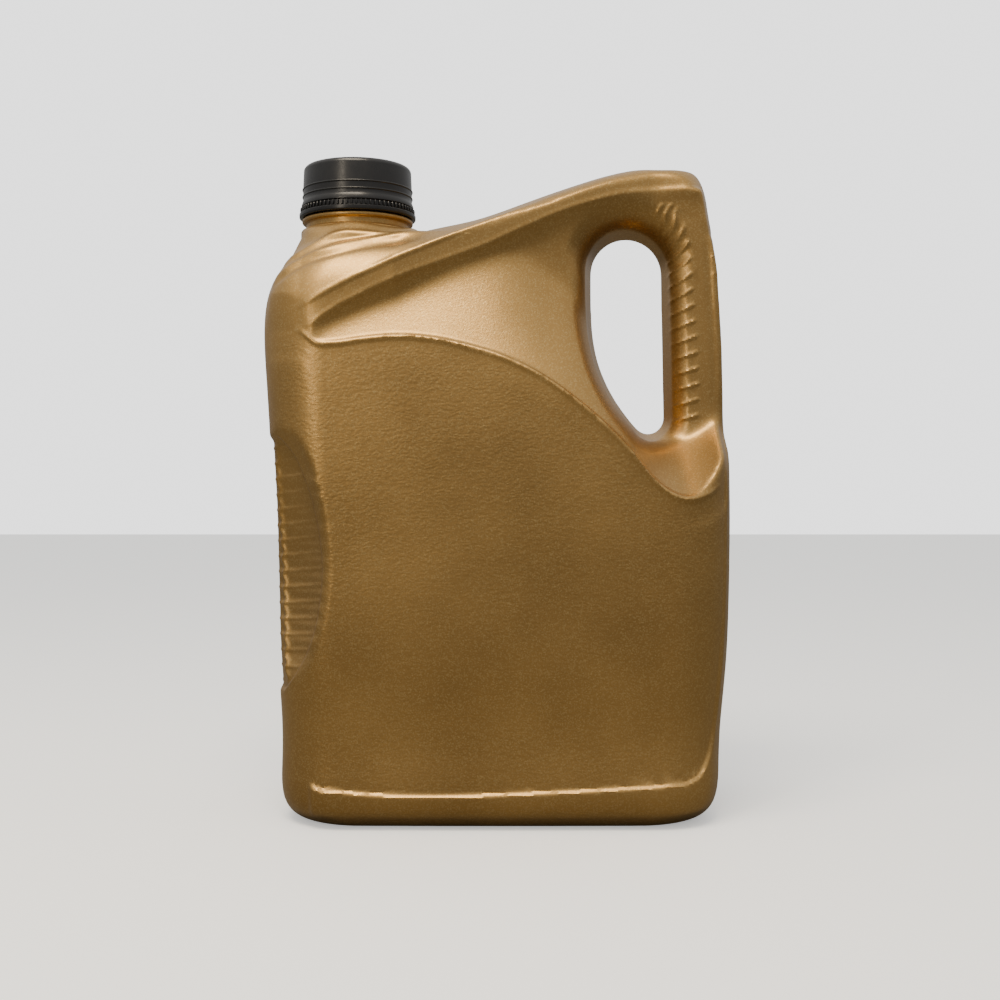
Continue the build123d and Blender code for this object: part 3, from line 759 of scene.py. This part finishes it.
def foamedPolyethyleneWad():
    # Foamed white polyethylene sheet, die-cut: matt, with pinhole cells
    material, tree, shader, place = newMaterial("foamed_polyethylene_wad", {"Roughness": 0.75, "IOR": 1.5})
    cells = addNode(tree, "TexVoronoi", {"Scale": perMetre(grain["cellSize"])}, {"Vector": place})
    tones = addNode(tree, "ValToRGB", None, {"Fac": cells.outputs["Distance"]})
    tones.color_ramp.elements[0].color = colour(shades["foamCell"])
    tones.color_ramp.elements[1].color = colour(shades["foamSkin"])
    tree.links.new(tones.outputs["Color"], shader.inputs["Base Color"])
    bump = addNode(tree, "Bump", {"Distance": grain["cellDepth"] * mm}, {"Height": cells.outputs["Distance"]})
    tree.links.new(bump.outputs["Normal"], shader.inputs["Normal"])
    return material


def finish(piece, material):
    piece.data.materials.clear()
    piece.data.materials.append(material)


markGrain(shell)
finish(shell, pearlGoldPolyethylene())
blackPlastic = satinBlackPolypropylene()
finish(capShell, blackPlastic)
finish(bandRing, blackPlastic)
finish(linerDisc, foamedPolyethyleneWad())
print("materials")

# Studio: a pale floor, a pale surround and soft boxes
studio = {"floorSize": 6.0, "floorColour": "#f4f4f2", "floorReflected": "#7c7c78", "floorGlow": 0.5,
          "surround": "#ffffff", "surroundGlow": 2.2, "lampColour": (1.0, 0.87, 0.68),
          "skyFoot": (0.40, 0.04), "skyMiddle": (0.52, 0.32), "skyTop": 0.85,  # heights and strengths
          "lens": 46.8, "sensor": 36, "camera": (0.00135, -0.600, 0.1486), "pitch": -0.85}


def makeFloor():
    bpy.ops.object.select_all(action="DESELECT")
    bpy.ops.mesh.primitive_plane_add(size=studio["floorSize"], location=(0, 0, bottleLow.z * mm))
    floor = bpy.context.object
    floor.name = "floor"
    material, tree, shader, place = newMaterial("pale_floor", {"Roughness": 0.8})
    shader.inputs["Base Color"].default_value = colour(studio["floorColour"])
    shader.inputs["Emission Color"].default_value = colour(studio["floorColour"])
    shader.inputs["Emission Strength"].default_value = studio["floorGlow"]
    muted = addNode(tree, "BsdfDiffuse", {"Color": colour(studio["floorReflected"])})
    seen = addNode(tree, "LightPath")
    mixed = addNode(tree, "MixShader", None, {0: seen.outputs["Is Camera Ray"], 1: muted.outputs[0],
                                              2: shader.outputs[0]})
    tree.links.new(mixed.outputs[0], tree.nodes["Material Output"].inputs["Surface"])
    finish(floor, material)


def makeSurround():
    world = bpy.data.worlds.new("studio")
    bpy.context.scene.world = world
    world.use_nodes = True
    tree = world.node_tree
    shown = tree.nodes["Background"]
    shown.inputs["Color"].default_value = colour(studio["surround"])
    shown.inputs["Strength"].default_value = studio["surroundGlow"]
    direction = addNode(tree, "TexCoord")
    height = addNode(tree, "SeparateXYZ", None, {0: direction.outputs["Generated"]})
    rising = addNode(tree, "MapRange", {"From Min": -1.0, "From Max": 1.0}, {"Value": height.outputs["Z"]})
    sky = addNode(tree, "ValToRGB", None, {"Fac": rising.outputs["Result"]})
    stops = sky.color_ramp.elements
    footHeight, footGrey = studio["skyFoot"]
    middleHeight, middleGrey = studio["skyMiddle"]
    stops[0].position, stops[0].color = footHeight, (footGrey, footGrey, footGrey, 1)
    stops[1].position, stops[1].color = studio["skyTop"], (1.0, 0.99, 0.97, 1)
    middle = stops.new(middleHeight)
    middle.color = (middleGrey, middleGrey, middleGrey, 1)
    lighting = addNode(tree, "Background", {"Strength": 1.0}, {"Color": sky.outputs["Color"]})
    seen = addNode(tree, "LightPath")
    mixed = addNode(tree, "MixShader", None, {0: seen.outputs["Is Camera Ray"], 1: lighting.outputs[0],
                                              2: shown.outputs[0]})
    tree.links.new(mixed.outputs[0], tree.nodes["World Output"].inputs["Surface"])


def softbox(name, place, target, size, power):
    data = bpy.data.lights.new(name, "AREA")
    data.shape = "RECTANGLE"
    data.size, data.size_y = size
    data.energy = power
    data.color = studio["lampColour"]
    lamp = bpy.data.objects.new(name, data)
    bpy.context.scene.collection.objects.link(lamp)
    lamp.location = place
    lamp.visible_camera = False
    lamp.rotation_euler = (Vector(target) - Vector(place)).to_track_quat("-Z", "Y").to_euler()


makeFloor()
makeSurround()
softbox("overhead", (-0.15, -0.40, 0.95), (-0.02, 0, 0.24), (0.55, 0.35), 9)
softbox("left_strip", (-0.45, -0.75, 0.45), (-0.06, 0, 0.25), (0.05, 0.5), 1.2)

cameraData = bpy.data.cameras.new("camera")
cameraData.lens = studio["lens"]
cameraData.sensor_width = studio["sensor"]
camera = bpy.data.objects.new("camera", cameraData)
bpy.context.scene.collection.objects.link(camera)
camera.location = studio["camera"]
camera.rotation_euler = (radians(90 + studio["pitch"]), 0, 0)
bpy.context.scene.camera = camera
print("studio")
